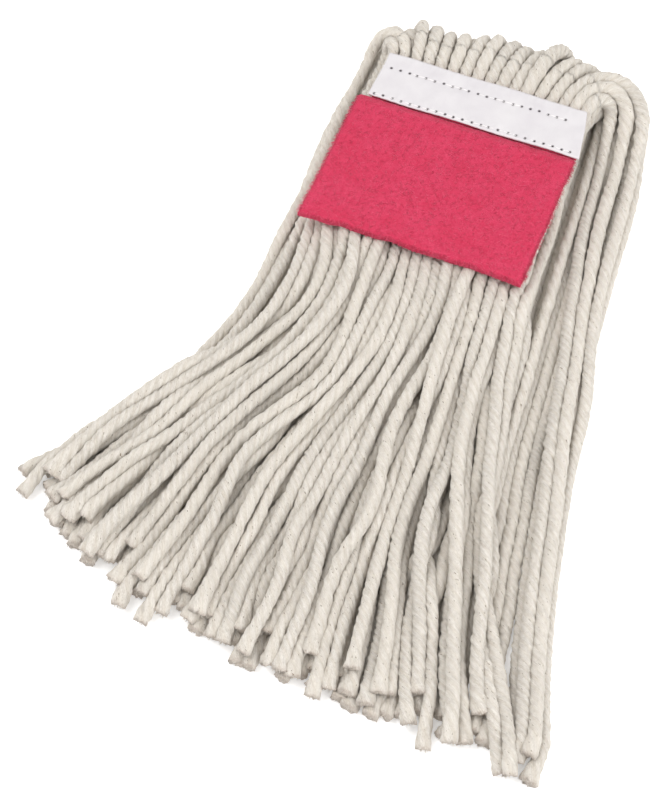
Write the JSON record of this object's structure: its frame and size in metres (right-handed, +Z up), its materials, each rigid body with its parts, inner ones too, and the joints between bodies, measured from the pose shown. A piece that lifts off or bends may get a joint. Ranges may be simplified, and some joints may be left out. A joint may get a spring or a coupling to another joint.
{
  "type": "string mop head",
  "caption": "Cut-end string mop head lying flat: a sewn tape headband holds thick cotton yarns folded in half, with a scrub pad stitched along one edge.",
  "frame": {"origin": "middle of the mop's footprint, on the floor it lies on", "axes": "+X along the headband to the right, +Y from the cut ends towards the folded loops, +Z up out of the floor"},
  "size_m": [0.3226, 0.441, 0.0364],
  "materials": {
    "cotton_yarn": "undyed four-strand cotton yarn with fuzz and seed specks",
    "vinyl_tape": "smooth white coated tape",
    "scrub_fibre": "open raspberry-pink non-woven abrasive fibre",
    "sewing_thread": "white sewing thread"
  },
  "bodies": {
    "headband": {"headband_upper_tape": "vinyl_tape", "headband_lower_tape": "vinyl_tape", "stitched_yarn_middles": "cotton_yarn", "scrub_pad_sewn_margin": "scrub_fibre", "stitching_loop_side_upper": "sewing_thread", "stitching_pad_side_upper": "sewing_thread", "stitching_loop_side_lower": "sewing_thread", "stitching_pad_side_lower": "sewing_thread", "yarn_loop_01": "cotton_yarn", "yarn_loop_02": "cotton_yarn", "yarn_loop_03": "cotton_yarn", "yarn_loop_04": "cotton_yarn", "yarn_loop_05": "cotton_yarn", "yarn_loop_06": "cotton_yarn", "yarn_loop_07": "cotton_yarn", "yarn_loop_08": "cotton_yarn", "yarn_loop_09": "cotton_yarn", "yarn_loop_10": "cotton_yarn", "yarn_loop_11": "cotton_yarn", "yarn_loop_12": "cotton_yarn", "yarn_loop_13": "cotton_yarn", "yarn_loop_14": "cotton_yarn", "yarn_loop_15": "cotton_yarn", "yarn_loop_16": "cotton_yarn", "yarn_loop_17": "cotton_yarn"},
    "front_yarns": {"front_yarn_01": "cotton_yarn", "front_yarn_02": "cotton_yarn", "front_yarn_03": "cotton_yarn", "front_yarn_04": "cotton_yarn", "front_yarn_05": "cotton_yarn", "front_yarn_06": "cotton_yarn", "front_yarn_07": "cotton_yarn", "front_yarn_08": "cotton_yarn", "front_yarn_09": "cotton_yarn", "front_yarn_10": "cotton_yarn", "front_yarn_11": "cotton_yarn", "front_yarn_12": "cotton_yarn", "front_yarn_13": "cotton_yarn", "front_yarn_14": "cotton_yarn", "front_yarn_15": "cotton_yarn", "front_yarn_16": "cotton_yarn", "front_yarn_17": "cotton_yarn"},
    "scrub_pad": {"scrub_pad": "scrub_fibre"},
    "back_yarns": {"back_yarn_01": "cotton_yarn", "back_yarn_02": "cotton_yarn", "back_yarn_03": "cotton_yarn", "back_yarn_04": "cotton_yarn", "back_yarn_05": "cotton_yarn", "back_yarn_06": "cotton_yarn", "back_yarn_07": "cotton_yarn", "back_yarn_08": "cotton_yarn", "back_yarn_09": "cotton_yarn", "back_yarn_10": "cotton_yarn", "back_yarn_11": "cotton_yarn", "back_yarn_12": "cotton_yarn", "back_yarn_13": "cotton_yarn", "back_yarn_14": "cotton_yarn", "back_yarn_15": "cotton_yarn", "back_yarn_16": "cotton_yarn", "back_yarn_17": "cotton_yarn"}
  },
  "joints": [
    {"name": "front_yarns_lift", "type": "hinge", "parent": "headband", "child": "front_yarns", "pos_m": [-0.012, 0.14226, 0.0372], "axis": [-1, 0, 0], "range_deg": [0, 80]},
    {"name": "scrub_pad_flip", "type": "hinge", "parent": "front_yarns", "child": "scrub_pad", "pos_m": [-0.012, 0.14226, 0.0372], "axis": [-1, 0, 0], "range_deg": [0, 95]},
    {"name": "back_yarns_swing", "type": "hinge", "parent": "headband", "child": "back_yarns", "pos_m": [-0.012, 0.20246, 0.0165], "axis": [1, 0, 0], "range_deg": [0, 100], "deforming": ["yarn_loop_01", "yarn_loop_02", "yarn_loop_03", "yarn_loop_04", "yarn_loop_05", "yarn_loop_06", "yarn_loop_07", "yarn_loop_08", "yarn_loop_09", "yarn_loop_10", "yarn_loop_11", "yarn_loop_12", "yarn_loop_13", "yarn_loop_14", "yarn_loop_15", "yarn_loop_16", "yarn_loop_17"]}
  ]
}
